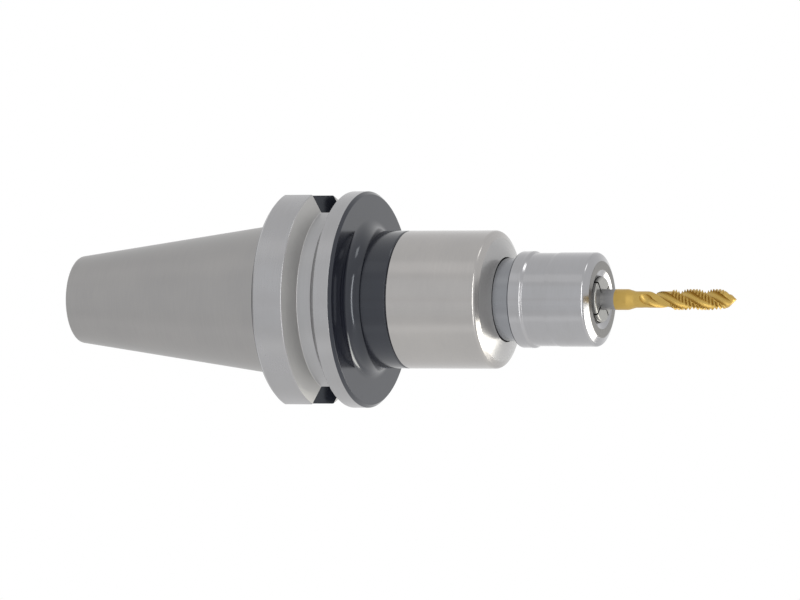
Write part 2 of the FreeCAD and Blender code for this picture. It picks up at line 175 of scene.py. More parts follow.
# %% A finish and its nodes
class Finish:
    """The node tree of a material, or of the world, while it is made."""

    def __init__(self, owner):
        owner.use_nodes = True
        self.owner = owner
        self.tree = owner.node_tree
        self.tree.nodes.clear()

    def node(self, kind, settings=None, sockets=None):
        """Adds a node, sets it and fills its sockets with values or links."""
        made = self.tree.nodes.new("ShaderNode" + kind)
        for name, value in (settings or {}).items():
            setattr(made, name, value)
        for name, value in (sockets or {}).items():
            if isinstance(value, Level):
                self.tree.links.new(value.socket, made.inputs[name])
            else:
                made.inputs[name].default_value = value
        return made

    def sum(self, operation, first, second):
        made = self.node("Math", {"operation": operation}, {0: first, 1: second})
        return self.value(made)

    def value(self, made, output=0):
        return Level(self, made.outputs[output])

    def fade(self, level, start, end):
        """0 where the level is below start, 1 above end, smooth between them."""
        made = self.node(
            "MapRange", {"interpolation_type": "SMOOTHSTEP"},
            {"Value": level, "From Min": start, "From Max": end, "To Min": 0, "To Max": 1},
        )
        return self.value(made)

    def mix(self, share, first, second):
        """Colour between two colours."""
        made = self.node("Mix", {"data_type": "RGBA"}, {0: share, 6: first, 7: second})
        return self.value(made, 2)

    def close(self, kind, shader):
        """Ends the tree with its output and hands back the material or the world."""
        self.node("Output" + kind, None, {"Surface": self.value(shader)})
        return self.owner


# %% [markdown]
# Turned and ground steel carries marks that run round the axis. They change quickly along the axis and
# across a face, and slowly on the way round. So the noise reads the station along the axis and the
# distance from it, both at a fine scale, and the direction round the axis as a point on a circle, which
# needs a fourth coordinate but has no seam.

# %% Where a point lies on a turned part
def station_and_radius(finish):
    """Station along the axis and distance from it, in metres, and the direction round it in two parts."""
    place = finish.value(finish.node("TexCoord"), "Object")
    split = finish.node("SeparateXYZ", None, {0: place})
    station, side, height = (finish.value(split, index) for index in range(3))
    radius = (side * side + height * height + 1e-12) ** 0.5
    return station, radius, side / radius, height / radius


def turning_marks(finish, lines_per_mm, round_scale=3.0):
    """Noise that runs round the axis, from 0 to 1, with a slower scale on the way round."""
    station, radius, cosine, sine = station_and_radius(finish)
    scale = lines_per_mm / mm
    place = finish.node(
        "CombineXYZ", None, {0: station * scale, 1: radius * scale, 2: cosine * round_scale}
    )
    made = finish.node(
        "TexNoise", {"noise_dimensions": "4D"},
        {"Vector": finish.value(place), "W": sine * round_scale, "Scale": 1.0, "Detail": 2.0},
    )
    return finish.value(made)


def clouds(finish, scale):
    """Soft blotches, from 0 to 1, with a scale in patches per metre."""
    place = finish.value(finish.node("TexCoord"), "Object")
    made = finish.node("TexNoise", None, {"Vector": place, "Scale": scale, "Detail": 3.0})
    return finish.value(made)


# %% [markdown]
# Bare steel is one Principled shader. What parts a ground face from a turned one is its tone, its gloss,
# and how fine and deep its marks are, so one function makes all the steels and the bronze. The tones look
# dark as numbers, because the world round the holder is white and the metal shows that white times its
# tone.

# %% A metal finish
blotch, mark_shade, shade_range = 0.05, 0.04, 0.06
patch_scale, patch_gloss, mark_gloss = 90.0, 0.10, 0.04


def metal(name, tone, tint, roughness, marks, depth, metallic=1.0):
    """Metal with turning marks: marks per millimetre, and their depth in micrometres."""
    finish = Finish(bpy.data.materials.new(name))
    lines = turning_marks(finish, marks)
    patches = clouds(finish, patch_scale)
    shade = (lines - 0.5) * mark_shade + (patches - 0.5) * blotch
    darker = [part * (1 - 2 * blotch) for part in tone] + [1]
    lighter = [part * (1 + 2 * blotch) * lift for part, lift in zip(tone, tint)] + [1]
    colour = finish.mix(finish.fade(shade, -shade_range, shade_range), darker, lighter)
    rough = (patches - 0.5) * patch_gloss + (lines - 0.5) * mark_gloss + roughness
    bump = finish.node("Bump", None, {"Height": lines, "Distance": depth * micron, "Strength": 1.0})
    skin = finish.node(
        "BsdfPrincipled", None,
        {"Base Color": colour, "Roughness": rough, "Metallic": metallic, "Normal": finish.value(bump)},
    )
    return finish.close("Material", skin)


warm = (1.0, 0.99, 0.97)
cool = (0.99, 1.0, 1.03)
taper_steel = metal("taper_steel", (0.305, 0.301, 0.302), warm, 0.36, 3.0, 0.8)
flange_steel = metal("flange_steel", (0.345, 0.342, 0.344), cool, 0.26, 4.0, 0.25)
groove_steel = metal("groove_steel", (0.345, 0.343, 0.344), cool, 0.36, 3.0, 0.5)
# The groove's rear wall is rougher, and its lighter tone is painted light that brightens the wall where it
# mirrors the dark groove.
wall_steel_painted_light = metal("wall_steel_painted_light", (0.43, 0.428, 0.425), warm, 0.50, 3.0, 0.8)
sleeve_steel = metal("sleeve_steel", (0.375, 0.366, 0.362), warm, 0.20, 4.0, 0.2)
nut_steel = metal("nut_steel", (0.35, 0.348, 0.353), cool, 0.16, 4.0, 0.2)
face_steel = metal("face_steel", (0.17, 0.168, 0.165), warm, 0.30, 2.0, 0.8)
spindle_steel = metal("spindle_steel", (0.235, 0.24, 0.25), cool, 0.22, 4.0, 0.2)
collet_steel = metal("collet_steel", (0.30, 0.30, 0.29), warm, 0.26, 4.0, 0.5)
cone_steel = metal("cone_steel", (0.35, 0.35, 0.355), warm, 0.23, 4.0, 0.2, metallic=0.5)
ball_steel = metal("ball_steel", (0.5, 0.5, 0.5), cool, 0.10, 2.0, 0.1)
bronze = metal("bronze", (0.42, 0.27, 0.12), warm, 0.35, 3.0, 0.8)
print("metals", len([one for one in bpy.data.materials if one.use_nodes]))

# %% [markdown]
# The flange's front face, the neck and the drive slots are black oxide: a thin dark skin, glossy like
# glass. A dark metal would shine evenly. This skin is no metal, so it shines more where it is seen at a
# grazing angle, which the refractive index sets, and that shine is tinted a little blue.

# %% Black oxide
oxide_dark, oxide_light = (0.007, 0.008, 0.013, 1), (0.012, 0.013, 0.020, 1)
oxide_index, oxide_tint = 1.56, (0.88, 0.93, 1.0, 1)
oxide_roughness, oxide_patch_gloss = 0.13, 0.06


def dark_skin(name):
    """Black oxide over turned steel, whose marks still show through it."""
    finish = Finish(bpy.data.materials.new(name))
    lines = turning_marks(finish, 3.0)
    patches = clouds(finish, 120.0)
    rough = (lines - 0.5) * mark_gloss + (patches - 0.5) * oxide_patch_gloss + oxide_roughness
    bump = finish.node("Bump", None, {"Height": lines, "Distance": 0.4 * micron, "Strength": 1.0})
    skin = finish.node(
        "BsdfPrincipled", None,
        {"Base Color": finish.mix(patches, oxide_dark, oxide_light), "Roughness": rough,
         "IOR": oxide_index, "Specular Tint": oxide_tint, "Normal": finish.value(bump)},
    )
    return finish.close("Material", skin)


black_oxide = dark_skin("black_oxide")
print(black_oxide.name, "nodes", len(black_oxide.node_tree.nodes))

# %% [markdown]
# The tap is ground high-speed steel. Its shank end stays bare and grey, and from a line just outside the
# nut it is coated gold. One material covers both, because the coating ends on a plain cylinder: the
# station along the axis decides which colour shows.

# %% Gold coating
coating_start, coating_edge = 103.1, 0.1
grey_dark, grey_light = (0.24, 0.24, 0.245, 1), (0.30, 0.30, 0.305, 1)
gold_dark, gold_light = (0.43, 0.28, 0.072, 1), (0.51, 0.36, 0.11, 1)
tap_roughness = 0.42


def tap_finish(name):
    """Bare steel up to the coating's start, and gold in front of it."""
    finish = Finish(bpy.data.materials.new(name))
    station = station_and_radius(finish)[0]
    lines = turning_marks(finish, 6.0)
    patches = clouds(finish, 600.0)
    coated = finish.fade(
        station, (coating_start - coating_edge) * mm, (coating_start + coating_edge) * mm
    )
    grey = finish.mix(lines, grey_dark, grey_light)
    gold = finish.mix(patches * 0.6 + lines * 0.4, gold_dark, gold_light)
    bump = finish.node("Bump", None, {"Height": lines, "Distance": 0.5 * micron, "Strength": 1.0})
    skin = finish.node(
        "BsdfPrincipled", None,
        {"Base Color": finish.mix(coated, grey, gold), "Metallic": 1.0,
         "Roughness": (lines - 0.5) * 0.1 + tap_roughness, "Normal": finish.value(bump)},
    )
    return finish.close("Material", skin)


coated_tap = tap_finish("coated_tap")
print(coated_tap.name, "gold from", coating_start, "mm")

# %% [markdown]
# The seals and dampers are moulded rubber: nearly black, dull, and with a fine grain that only a bump
# needs to show, because it is much smaller than the rings themselves.

# %% Rubber
def rubber(name, dark, light, roughness):
    """Dull moulded rubber with a fine grain, between two tones."""
    finish = Finish(bpy.data.materials.new(name))
    grain = clouds(finish, 2500.0)
    bump = finish.node("Bump", None, {"Height": grain, "Distance": 8 * micron, "Strength": 1.0})
    skin = finish.node(
        "BsdfPrincipled", None,
        {"Base Color": finish.mix(clouds(finish, 120.0), dark, light),
         "Roughness": grain * 0.2 + roughness, "Normal": finish.value(bump)},
    )
    return finish.close("Material", skin)


black_rubber = rubber("black_rubber", (0.012, 0.012, 0.013, 1), (0.03, 0.03, 0.032, 1), 0.45)
damper_rubber = rubber("damper_rubber", (0.03, 0.03, 0.035, 1), (0.055, 0.055, 0.06, 1), 0.5)
print("materials", len(bpy.data.materials))

# %% [markdown]
# A turned part is a closed outline spun about the tool axis. The outline is drawn like a pencil line: a
# small plane is merged to one point, the point goes to the first corner, and each extrusion takes it to
# the next. Every station and radius stays a plain number that way. Corners are then rounded with a vertex
# bevel, whose offset is the length of the tangent.

# %% Working in edit mode
def start_new():
    """Leaves edit mode and lets go of everything, so that the next operator acts on nothing else."""
    if bpy.context.mode != "OBJECT":
        bpy.ops.object.mode_set(mode="OBJECT")
    bpy.ops.object.select_all(action="DESELECT")


def edit_all():
    """Opens the active piece in edit mode with all its corners selected."""
    bpy.ops.object.mode_set(mode="EDIT")
    bpy.ops.mesh.select_mode(type="VERT")
    bpy.ops.mesh.select_all(action="SELECT")


def choose(piece, kind, test):
    """Selects the corners, edges or faces of the piece in edit mode whose middle passes the test."""
    bpy.ops.mesh.select_mode(type=kind)
    bpy.ops.mesh.select_all(action="DESELECT")
    mesh = bmesh.from_edit_mesh(piece.data)
    for item in {"VERT": mesh.verts, "EDGE": mesh.edges, "FACE": mesh.faces}[kind]:
        if kind == "VERT":
            middle = item.co
        else:
            middle = sum((corner.co for corner in item.verts), Vector()) / len(item.verts)
        if test(middle / mm):
            item.select_set(True)
    mesh.select_flush(True)
    bmesh.update_edit_mesh(piece.data)


# %% Drawing an outline
round_steps = {0: 2, 1: 5, 3: 10}  # segments of a round, by its least radius
weld = 5 * micron  # corners nearer than this become one
same_place = 0.002  # how near, in millimetres, counts as the same place


def tangent_length(before, here, after, rounding):
    """How far along each side a round of that radius starts."""
    back = Vector(before[:2]) - Vector(here[:2])
    on = Vector(after[:2]) - Vector(here[:2])
    return rounding / math.tan(back.angle(on) / 2)


def pencil(name, places):
    """Chain of edges through the places, drawn by pulling one point along, in edit mode."""
    start_new()
    bpy.ops.mesh.primitive_plane_add(size=mm)
    piece = bpy.context.active_object
    piece.name = name
    piece.data.name = name
    edit_all()
    bpy.ops.mesh.merge(type="CENTER")
    bpy.ops.transform.translate(value=places[0])
    for before, here in zip(places, places[1:]):
        bpy.ops.mesh.extrude_region_move(TRANSFORM_OT_translate={"value": here - before})
    return piece


def draw_outline(name, corners):
    """Closed chain of edges through (station, radius) corners; a third value rounds that corner."""
    places = [Vector((corner[0], 0, corner[1])) * mm for corner in corners]
    piece = pencil(name, places + places[:1])
    bpy.ops.mesh.select_all(action="SELECT")
    bpy.ops.mesh.remove_doubles(threshold=weld)
    for index, corner in enumerate(corners):
        if len(corner) < 3:
            continue
        after = corners[(index + 1) % len(corners)]
        offset = tangent_length(corners[index - 1], corner, after, corner[2])
        place = places[index] / mm
        choose(piece, "VERT", lambda middle: (middle - place).length < same_place)
        steps = max(count for least, count in round_steps.items() if corner[2] >= least)
        bpy.ops.mesh.bevel(
            offset=offset * mm, offset_type="OFFSET", segments=steps, profile=0.5, affect="VERTICES"
        )
    return piece


print("a round of 3 mm or more gets", round_steps[3], "segments")


# %% Turning it
turn_steps = 144


def close_up(piece):
    """Turns every face of the piece outward and leaves edit mode."""
    bpy.ops.mesh.select_all(action="SELECT")
    bpy.ops.mesh.normals_make_consistent(inside=False)
    bpy.ops.object.mode_set(mode="OBJECT")
    return piece


def turn(name, corners, steps=turn_steps):
    """Solid of revolution about the tool axis, left in object mode."""
    piece = draw_outline(name, corners)
    bpy.ops.mesh.select_all(action="SELECT")
    bpy.ops.mesh.spin(steps=steps, angle=math.tau, center=(0, 0, 0), axis=(1, 0, 0))
    bpy.ops.mesh.select_all(action="SELECT")
    bpy.ops.mesh.remove_doubles(threshold=weld)
    return close_up(piece)


print("a full turn takes", turn_steps, "steps")

# %% [markdown]
# Slots, tracks and flutes are milled or ground out of the real part, and here a tool of the same shape is
# cut out of the piece with a Boolean modifier. Narrow rounds only catch the light if the large faces next
# to them stay flat, so the shading is smooth up to an angle and then weighted by the size of the faces.
# Faces take their finish by where their middle lies, so nothing has to be picked by hand.

# %% Cutting
def take(piece):
    """Makes the piece the only chosen one, so that operators act on it alone."""
    start_new()
    piece.select_set(True)
    bpy.context.view_layer.objects.active = piece


def modify(piece, kind, **settings):
    """Adds a modifier to the active piece, sets it and applies it."""
    bpy.ops.object.modifier_add(type=kind)
    modifier = piece.modifiers[-1]
    for name, value in settings.items():
        setattr(modifier, name, value)
    bpy.ops.object.modifier_apply(modifier=modifier.name)


def combine(piece, tool, operation):
    """Cuts the tool out of the piece, joins it or keeps what both share, and removes the tool."""
    take(piece)
    modify(piece, "BOOLEAN", operation=operation, solver="EXACT", object=tool)
    bpy.data.objects.remove(tool)


# %% Shading and finishes
smooth_angle = 32


def smooth(piece):
    """Smooth shading up to that angle between faces, led by the large faces."""
    take(piece)
    bpy.ops.object.shade_smooth_by_angle(angle=math.radians(smooth_angle))
    modify(piece, "WEIGHTED_NORMAL", keep_sharp=True)


def coat(piece, material, test=None):
    """Gives the piece a material, or only the faces whose middle passes the test."""
    take(piece)
    bpy.ops.object.material_slot_add()
    piece.material_slots[-1].material = material
    piece.active_material_index = len(piece.material_slots) - 1
    if test is not None:
        bpy.ops.object.mode_set(mode="EDIT")
        choose(piece, "FACE", test)
        bpy.ops.object.material_slot_assign()
        bpy.ops.object.mode_set(mode="OBJECT")


print("edges stay sharp from", smooth_angle, "degrees")


# %% [markdown]
# A dressed piece takes the place of its plain twin in the frame. It rides the same body, so it moves with
# the joints, and its twin is hidden. Each of that could be said piece by piece, but one helper forgets
# none of it.

# %% Seating a finished piece
def seat(piece, body, slot, *nodes):
    """Hands the piece to its body and lets it stand for its CAD nodes."""
    smooth(piece)
    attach(piece, body)
    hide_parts(*nodes)
    print(piece.name, "faces", len(piece.data.polygons), "rides on", body)


# %% [markdown]
# The shank is one turned part: taper, flange with its gripper groove, black neck and the spigot inside
# the sleeve. Its stations come from the frame's boxes and from the sizes named here, so it fits what it
# carries. Real edges are broken by some tenths of a millimetre, and those breaks are the bright lines on
# the flange, so every outer corner gets its small round.

# %% Shank sizes
def span(node):
    """First and last station of a node, and its largest radius, in millimetres."""
    low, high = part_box(node)
    return low.x / mm, high.x / mm, max(high.y, high.z) / mm


small_end, spigot_front, flange_radius = span("shank_body")
sleeve_rear, sleeve_front, ring_radius = span("housing_sleeve")
nut_rear, nut_front, bead_radius = span("collet_nut")
gauge_radius = 22.225
taper_slope = 7 / 48
small_radius = gauge_radius + small_end * taper_slope
undercut_radius = gauge_radius - 1.0
flange_rear = 2.0
flange_front = 27.0
groove_rear, groove_floor_rear, groove_floor_front, groove_front = 11.6, 14.487, 18.713, 21.6
groove_radius = flange_radius - 5.0
neck_radius = ring_radius - 0.5
ring_rear = 31.5
spigot_radius = 17.0
cavity_radius, cavity_floor = 14.0, 16.0
bush_seat_radius, bush_seat_floor = 9.0, 4.0
tube_radius, tube_rear = 3.0, -8.0
passage_radius = 2.5
thread_wall_radius, thread_end = 6.9175, -37.4
pilot_radius, pilot_floor = 8.5, -57.4
drill_point = thread_end + (thread_wall_radius - passage_radius) / math.tan(math.radians(59))
edge_break = 0.15
undercut_rear = 0.5
rim_chamfer, joint_chamfer, neck_fillet = 0.9, 0.4, 4.0
print("shank from", round(small_end, 2), "to", round(spigot_front, 2), "mm")

# %% Shank outline
shank_outline = [
    (small_end, small_radius, 1.2),
    (0, gauge_radius, edge_break),
    (undercut_rear, undercut_radius, edge_break),
    (flange_rear, undercut_radius, edge_break),
    (flange_rear, flange_radius - 1.0, edge_break),
    (flange_rear + 0.35, flange_radius - 0.65),
    (flange_rear + 1.0, flange_radius, 0.3),
    (groove_rear, flange_radius, 0.4),
    (groove_floor_rear, groove_radius, 0.3),
    (groove_floor_front, groove_radius, 0.3),
    (groove_front, flange_radius, 0.4),
    (flange_front - rim_chamfer, flange_radius, edge_break),
    (flange_front, flange_radius - rim_chamfer, edge_break),
    (flange_front, neck_radius, neck_fillet),
    (ring_rear, neck_radius, edge_break),
    (ring_rear, ring_radius, edge_break),
    (sleeve_rear - joint_chamfer, ring_radius, edge_break / 2),
    (sleeve_rear, ring_radius - joint_chamfer, edge_break / 2),
    (sleeve_rear, spigot_radius),
    (spigot_front, spigot_radius),
    (spigot_front, cavity_radius),
    (cavity_floor, cavity_radius),
    (cavity_floor, bush_seat_radius),
    (bush_seat_floor, bush_seat_radius),
    (bush_seat_floor, tube_radius),
    (tube_rear, tube_radius),
    (tube_rear, passage_radius),
    (drill_point, passage_radius),
    (thread_end, thread_wall_radius),
    (pilot_floor, thread_wall_radius, 0.6),
    (pilot_floor, pilot_radius),
    (small_end, pilot_radius, 0.5),
]
shank = turn("shank", shank_outline)
print("shank faces", len(shank.data.polygons))

# %% [markdown]
# Two slots for the machine's drive keys are milled through the rear of the flange, one on top and one
# below. The cutter starts as a cube that is scaled to the slot, and its lower edges are bevelled, because
# a milled floor never meets its walls in a perfectly sharp corner.

# %% Drive slots
slot_half_width = 8.05
slot_floor = 22.6
slot_rounding = 0.4


def block(name, low, high):
    """Box between two corners, in millimetres, in edit mode."""
    start_new()
    bpy.ops.mesh.primitive_cube_add(size=mm)
    piece = bpy.context.active_object
    piece.name = name
    edit_all()
    bpy.ops.transform.resize(value=Vector(high) - Vector(low))
    bpy.ops.transform.translate(value=(Vector(high) + Vector(low)) / 2 * mm)
    return piece


for side in (1, -1):
    heights = sorted([side * slot_floor, side * (flange_radius + 1)])
    slot_tool = block(
        "slot_tool", (flange_rear - 1, -slot_half_width, heights[0]),
        (groove_floor_front, slot_half_width, heights[1]),
    )
    choose(slot_tool, "EDGE", lambda middle: abs(abs(middle.z) - slot_floor) < 0.01)
    bpy.ops.mesh.bevel(offset=slot_rounding * mm, segments=3, affect="EDGES")
    bpy.ops.object.mode_set(mode="OBJECT")
    combine(shank, slot_tool, "DIFFERENCE")
print("faces with the slots", len(shank.data.polygons))

# %% [markdown]
# Inside, four round-ended tracks hold the drive balls, and a groove holds the ring that seals the coolant
# tube. Nobody sees them, but the mesh should hold what the part really has. Each track cutter is a
# short outline with a round rear end, turned about its own line and then moved out from the axis.

# %% Ball tracks
first_ball, ball_centre_radius, track_radius = 30.25, 12.5, 2.53
track_rear = first_ball - 1.2 - track_radius
track_front = spigot_front + 5.0
track_count = 4
for index in range(track_count):
    tool = turn("track_tool", [
        (track_rear, 0), (track_rear, track_radius, track_radius * 0.99),
        (track_front, track_radius), (track_front, 0),
    ], steps=32)
    edit_all()
    angle = math.radians(45 + 360 / track_count * index)
    reach = ball_centre_radius * mm
    bpy.ops.transform.translate(value=(0, math.sin(angle) * reach, math.cos(angle) * reach))
    bpy.ops.object.mode_set(mode="OBJECT")
    combine(shank, tool, "DIFFERENCE")


groove_rounding = 0.2


def groove_tool(name, station, half_width, inner, outer):
    """Ring that cuts a groove with rounded corners."""
    return turn(name, [
        (station - half_width, inner), (station - half_width, outer, groove_rounding),
        (station + half_width, outer, groove_rounding), (station + half_width, inner),
    ], steps=64)


tube_ring_station, tube_ring_half, tube_ring_outer = -1.0, 0.9, 4.5
tool = groove_tool("ring_tool", tube_ring_station, tube_ring_half, tube_radius - 0.2, tube_ring_outer)
combine(shank, tool, "DIFFERENCE")
print("faces with the tracks", len(shank.data.polygons))


# %% [markdown]
# A thread is one pitch of its outline, swept round the axis while it moves along it. The Screw modifier
# does that, and bisecting the result at both ends with the cut filled gives a closed threaded rod. Cut
# out of the shank, such a rod leaves the M16 thread that holds the pull stud. Its core is a little thinner
# than the hole, so that the two walls never lie in one another.

# %% Threaded rod
thread_steps = 48


def threaded_rod(name, rear, front, crest, root, pitch):
    """Closed rod with an outside thread between two stations."""
    first = rear - 2.01 * pitch
    shape = [(0, root), (0.125, root), (0.4375, crest), (0.5625, crest), (0.875, root), (1, root)]
    places = [Vector((first + along * pitch, 0, radius)) * mm for along, radius in shape]
    piece = pencil(name, places)
    bpy.ops.object.mode_set(mode="OBJECT")
    modify(
        piece, "SCREW", axis="X", screw_offset=pitch * mm, iterations=math.ceil((front - rear) / pitch) + 4,
        steps=thread_steps, render_steps=thread_steps, use_merge_vertices=True, merge_threshold=micron,
    )
    bpy.ops.object.mode_set(mode="EDIT")
    for station, direction in ((rear, -1), (front, 1)):
        bpy.ops.mesh.select_all(action="SELECT")
        bpy.ops.mesh.remove_doubles(threshold=weld)
        bpy.ops.mesh.bisect(
            plane_co=(station * mm, 0, 0), plane_no=(direction, 0, 0), use_fill=True, clear_outer=True,
            threshold=0.1 * micron,
        )
    return close_up(piece)


stud_rear, stud_front = pilot_floor - 0.6, thread_end - 2.5
stud_crest, stud_root, stud_pitch = 8.0, 6.8, 2.0
stud_thread = threaded_rod("stud_thread", stud_rear, stud_front, stud_crest, stud_root, stud_pitch)
combine(shank, stud_thread, "DIFFERENCE")
print("faces with the thread", len(shank.data.polygons))


# %% [markdown]
# The taper is ground, the flange turned, and the groove turned more coarsely, with its rear wall the
# dullest, so each gets its own steel. The rear wall's steel is also lighter, which is painted light that
# brightens the wall where it mirrors the dark groove. The black skin is left in the slots and on
# everything from the flange's front face on, and a thin band of it on the flange's rear edge is painted
# shade, a dark line where the flange meets the taper. Coats may overlap, and the last one stays.

# %% Shank finishes
near = 0.02  # how far off, in millimetres, a middle may lie and still count


def in_slot(middle):
    walls = abs(abs(middle.y) - slot_half_width) < near and abs(middle.z) > slot_floor - near
    height = abs(middle.z) - slot_floor
    floor = abs(middle.y) < slot_half_width and -near < height < slot_rounding + near
    return middle.x < groove_floor_front + 0.05 and (walls or floor) and middle.xz.length < flange_radius


# Faces of the flange's rear edge: the black skin here is painted shade, a dark line where the flange meets
# the taper.
def rear_edge_painted_shade(middle):
    return abs(middle.x - flange_rear - 0.17) < 0.17 and middle.yz.length > flange_radius - 1.1


coat(shank, taper_steel)
coat(shank, flange_steel, lambda middle: flange_rear - 0.1 < middle.x < flange_front)
coat(shank, groove_steel, lambda middle: groove_floor_rear < middle.x < groove_front - 0.2)
# painted light: the rear wall's lighter steel brightens it where it mirrors the dark groove
coat(shank, wall_steel_painted_light, lambda middle: groove_rear + 0.2 < middle.x < groove_floor_rear)
coat(shank, black_oxide, in_slot)
# painted shade: a thin dark line on the flange's rear edge, against the taper
coat(shank, black_oxide, rear_edge_painted_shade)
coat(shank, black_oxide, lambda middle: middle.x > flange_front - 0.85)
seat(shank, "holder", "ground_steel", "shank_body")

# %% [markdown]
# The sleeve is ground all over, and its nose has a soft shoulder, a short cone and a flatter one that
# runs down to the spindle. The shoulder's round is what draws the bright line round the sleeve. In the
# middle of the view the flat cone mirrors the dark spindle, so it gets a steel of its own that is half
# matt and keeps a satin grey there.

# %% Sleeve
spindle_radius = 12.0
sleeve_bore = spindle_radius + 0.25
sleeve_inner = spigot_radius + 0.02
bush_outer = 14.0
damper_stop, lip_rear = 58.0, 66.2
nose_length, cone_length, nose_drop = 2.8, 1.8, 2.1
sleeve = turn("sleeve", [
    (sleeve_rear, sleeve_inner),
    (sleeve_rear, ring_radius - joint_chamfer, edge_break / 2),
    (sleeve_rear + joint_chamfer, ring_radius, edge_break / 2),
    (sleeve_front - nose_length, ring_radius, 1.0),
    (sleeve_front - cone_length, ring_radius - nose_drop, 0.5),
    (sleeve_front, sleeve_bore, 0.1),
    (lip_rear, sleeve_bore, 0.1),
    (lip_rear, bush_outer),
    (damper_stop, bush_outer),
    (damper_stop, sleeve_inner),
])
sleeve_ring_station, sleeve_ring_half, sleeve_ring_outer = 46.6, 0.66, 18.12
tool = groove_tool(
    "ring_tool", sleeve_ring_station, sleeve_ring_half, spigot_radius - 0.2, sleeve_ring_outer
)
combine(sleeve, tool, "DIFFERENCE")


def on_cone(middle):
    return middle.x > sleeve_front - cone_length + 0.05 and middle.yz.length > sleeve_bore + near


coat(sleeve, sleeve_steel)
coat(sleeve, cone_steel, on_cone)
seat(sleeve, "holder", "polished_steel", "housing_sleeve")

# %% [markdown]
# The nut is a plain round one, tightened by its whole outside. It has a lip with a narrow bead at its
# rear, a rounded chamfer at its front, and a dished mouth round the collet. Its inner outline follows
# the spindle's thread, the extraction ring's seat and the cone that closes the collet. The black skin on
# the lip's rear edge is painted shade, a dark line where the nut meets the spindle behind it.

# %% Nut
nut_body_radius = bead_radius - 0.55
nut_grip_radius = nut_body_radius + 0.13
nut_thread_radius = spindle_radius + 0.03
lip_radius, lip_rounding = bead_radius - 0.07, 0.4
bead_rear, bead_front, bead_foot = 77.3, 78.2, 78.9
grip_rear, grip_full = 85.4, 86.4
chamfer_length, chamfer_drop = 1.2, 2.6
nut_opening, dish_width, dish_depth = 6.7, 1.9, 0.75
cone_front, cone_rear, ring_front, ring_back = 97.03, 94.8, 94.55, 92.85
cone_front_radius, cone_rear_radius = 8.547, 9.835
ring_inner, ring_outer = 10.55, 11.55
nut = turn("nut", [
    (nut_rear, nut_thread_radius),
    (nut_rear, lip_radius, lip_rounding),
    (bead_rear, lip_radius),
    (bead_rear, bead_radius, 0.05),
    (bead_front, bead_radius, 0.6),
    (bead_foot, nut_body_radius, 0.2),
    (grip_rear, nut_body_radius, 3.0),
    (grip_full, nut_grip_radius, 3.0),
    (nut_front - chamfer_length, nut_grip_radius, 1.0),
    (nut_front, nut_grip_radius - chamfer_drop, 0.5),
    (nut_front, nut_opening + dish_width, 0.4),
    (nut_front - dish_depth, nut_opening, 0.1),
    (cone_front, nut_opening),
    (cone_front, cone_front_radius),
    (cone_rear, cone_rear_radius),
    (cone_rear, ring_inner),
    (ring_front, ring_inner),
    (ring_front, ring_outer),
    (ring_back, ring_outer),
    (ring_back, nut_thread_radius),
])


# Faces of the lip's rear edge: the black skin here is painted shade, the dark gap between nut and spindle.
def lip_edge_painted_shade(middle):
    return middle.x < nut_rear + lip_rounding + near and middle.yz.length > bead_radius - 0.5


coat(nut, nut_steel)
coat(nut, face_steel, lambda middle: middle.x > nut_front - 2 * near)
# painted shade: a dark line on the lip's rear edge, against the spindle
coat(nut, black_oxide, lip_edge_painted_shade)
seat(nut, "nut", "polished_steel", "collet_nut")

# %% [markdown]
# The tap has an M6 thread of the same kind. Only what the threaded rod and a turned envelope share is
# kept, and that has the tapered lead. Three flute cutters then leave the cutting edges.

# %% Tap thread
tap_pitch = 1.0
tap_crest = 3.0
tap_root = 2.39
tap_rear, tap_tip, tap_shank_radius = span("tap")
thread_rear, lead_rear, lead_front = 120.6, 134.9, 137.1
thread = threaded_rod("tap_thread", thread_rear - 0.5, lead_front, tap_crest, tap_root, tap_pitch)
print("thread faces", len(thread.data.polygons))

# %% Tap blank
tap_neck, tap_core, tip_radius = 2.375, 2.2, 2.243
tap_chamfer, lead_drop = 0.3, 0.75
square_half, square_length = 2.25, 7.0
shank_front, neck_rear = 106.8, 109.0
envelope = turn("envelope", [
    (thread_rear - 1, 0), (thread_rear - 1, tap_root - 0.3), (thread_rear + 0.3, tap_crest),
    (lead_rear, tap_crest), (lead_front + 0.01, tap_crest - lead_drop), (lead_front + 0.01, 0),
], steps=96)
combine(thread, envelope, "INTERSECT")
tap = turn("tap_body", [
    (tap_rear, 0),
    (tap_rear, tap_shank_radius - tap_chamfer),
    (tap_rear + tap_chamfer, tap_shank_radius),
    (shank_front, tap_shank_radius, 2.0),
    (neck_rear, tap_neck, 2.0),
    (thread_rear - 0.2, tap_neck),
    (thread_rear + 0.3, tap_core),
    (lead_front - 0.6, tap_core),
    (lead_front - 0.02, tip_radius),
    (tap_tip, 0),
], steps=96)
for index in range(4):
    angle = math.radians(90 * index)
    flat = block("flat", (tap_rear - 1, -4, square_half), (tap_rear + square_length, 4, 5))
    bpy.ops.mesh.select_all(action="SELECT")
    bpy.ops.transform.rotate(value=angle, orient_axis="X", center_override=(0, 0, 0))
    bpy.ops.object.mode_set(mode="OBJECT")
    combine(tap, flat, "DIFFERENCE")
combine(tap, thread, "UNION")
print("tap blank faces", len(tap.data.polygons))

# %% [markdown]
# A flute is a round channel on a helix, so the Screw modifier sweeps a circle whose centre lies off the
# axis. A grinding wheel leaves the cut gently, so at its rear each flute ends in a long ball that is laid
# along the helix.

# %% Flute cutter
flute_lead = 23.0
flute_radius = 1.65
flute_centre = 2.85
flute_start = neck_rear + 4.0
flute_steps = 72
run_out = 1.7
bearing_station, flute_bearing = neck_rear + 2.0, 61.3
flute_phase = math.radians(flute_bearing) - math.tau * (flute_start - bearing_station) / flute_lead


